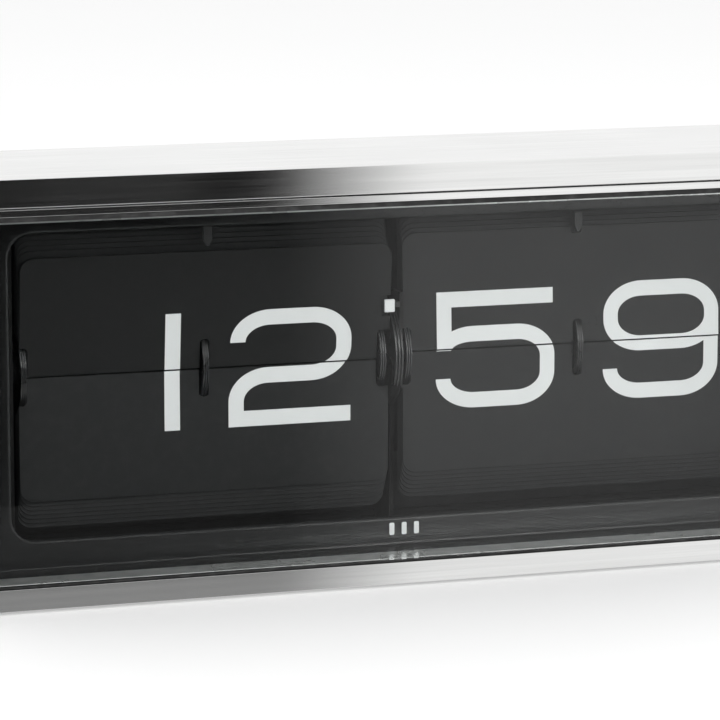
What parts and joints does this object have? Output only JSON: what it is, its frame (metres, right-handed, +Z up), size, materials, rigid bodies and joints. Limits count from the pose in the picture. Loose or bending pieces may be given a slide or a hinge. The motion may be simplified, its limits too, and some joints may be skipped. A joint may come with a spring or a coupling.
{
  "type": "flip number clock",
  "caption": "Desk flip clock in a brushed steel case, with split hour and minute leaves that turn over behind a glass front.",
  "frame": {"origin": "under the middle of the case, on the surface that its feet stand on", "axes": "+X to the viewer's right along the case, the display faces -Y, +Z up"},
  "size_m": [0.37, 0.09, 0.1612],
  "materials": {
    "brushed_case_steel": "fine straight brushing along the length",
    "bright_steel": "satin",
    "plain_steel": "plain rolled",
    "black_rubber": "matt",
    "clear_glass": "polished",
    "gloss_black": "gloss",
    "leaf_plastic": "fine matt, with white printed numerals",
    "white_plastic": "satin",
    "gear_plastic": "moulded",
    "pinion_brass": "cut",
    "board_green": "satin",
    "cell_wrap": "gloss wrap",
    "matte_black": "moulded satin"
  },
  "bodies": {
    "root": {"outer_cover": "brushed_case_steel", "front_frame": "brushed_case_steel", "glass_gasket": "black_rubber", "glass_pane": "clear_glass", "window_sleeve": "bright_steel", "display_mask": "gloss_black", "base_plate": "plain_steel", "rear_panel": "matte_black", "rear_screw_1": "plain_steel", "rear_screw_2": "plain_steel", "rear_screw_3": "plain_steel", "rear_screw_4": "plain_steel", "rubber_foot_1": "black_rubber", "rubber_foot_2": "black_rubber", "rubber_foot_3": "black_rubber", "rubber_foot_4": "black_rubber", "left_plate": "matte_black", "centre_plate": "matte_black", "right_plate": "matte_black", "tie_rod_1": "plain_steel", "tie_rod_2": "plain_steel", "tie_rod_3": "plain_steel", "catch_bar": "matte_black", "hour_catch_finger": "matte_black", "minute_catch_finger": "matte_black", "index_tab": "white_plastic", "train_bridge": "plain_steel", "drive_motor": "plain_steel", "circuit_board": "board_green", "battery_box": "matte_black", "battery_cell": "cell_wrap", "battery_spring": "bright_steel", "hour_upper_pack": "leaf_plastic", "hour_lower_pack": "leaf_plastic", "hour_rear_pack": "leaf_plastic", "minute_upper_pack": "leaf_plastic", "minute_lower_pack": "leaf_plastic", "minute_rear_pack": "leaf_plastic"},
    "minute_drum": {"minute_axle": "plain_steel", "minute_drum_tube": "matte_black", "minute_disc_left": "matte_black", "minute_disc_middle": "matte_black", "minute_disc_right": "matte_black", "centre_disc": "matte_black", "setting_wheel": "matte_black", "minute_pinion": "pinion_brass", "drive_gear": "gear_plastic"},
    "hour_drum": {"hour_drum_tube": "matte_black", "hour_disc_left": "matte_black", "hour_disc_middle": "matte_black", "hour_disc_right": "matte_black", "hour_gear": "gear_plastic"},
    "reduction": {"reduction_shaft": "plain_steel", "reduction_gear": "gear_plastic", "reduction_pinion": "pinion_brass"},
    "motor_pinion": {"motor_pinion": "pinion_brass"},
    "minute_leaf": {"minute_leaf": "leaf_plastic"},
    "hour_leaf": {"hour_leaf": "leaf_plastic"},
    "battery_door": {"battery_door": "matte_black", "battery_contact": "bright_steel"}
  },
  "joints": [
    {"name": "minute_drum_spin", "type": "hinge", "parent": "root", "child": "minute_drum", "pos_m": [0, 0.02, 0.0798], "axis": [1, 0, 0], "continuous": true},
    {"name": "reduction_spin", "type": "hinge", "parent": "root", "child": "reduction", "pos_m": [0, 0.02, 0.1008], "axis": [1, 0, 0], "continuous": true},
    {"name": "hour_drum_spin", "type": "hinge", "parent": "root", "child": "hour_drum", "pos_m": [0, 0.02, 0.0798], "axis": [1, 0, 0], "continuous": true},
    {"name": "motor_pinion_spin", "type": "hinge", "parent": "root", "child": "motor_pinion", "pos_m": [0.159, 0.00473, 0.06453], "axis": [1, 0, 0], "continuous": true},
    {"name": "minute_leaf_fall", "type": "hinge", "parent": "root", "child": "minute_leaf", "pos_m": [0.0767, 0.006, 0.0812], "axis": [1, 0, 0], "range_deg": [0, 181]},
    {"name": "hour_leaf_fall", "type": "hinge", "parent": "root", "child": "hour_leaf", "pos_m": [-0.0767, 0.006, 0.079], "axis": [1, 0, 0], "range_deg": [0, 172]},
    {"name": "battery_door_open", "type": "hinge", "parent": "root", "child": "battery_door", "pos_m": [0.1672, 0.04305, 0.12615], "axis": [1, 0, 0], "range_deg": [0, 90]}
  ],
  "couplings": [
    {"joint": "reduction_spin", "follows": "minute_drum_spin", "ratio": -0.25},
    {"joint": "hour_drum_spin", "follows": "minute_drum_spin", "ratio": 0.041667},
    {"joint": "motor_pinion_spin", "follows": "minute_drum_spin", "ratio": -5}
  ]
}
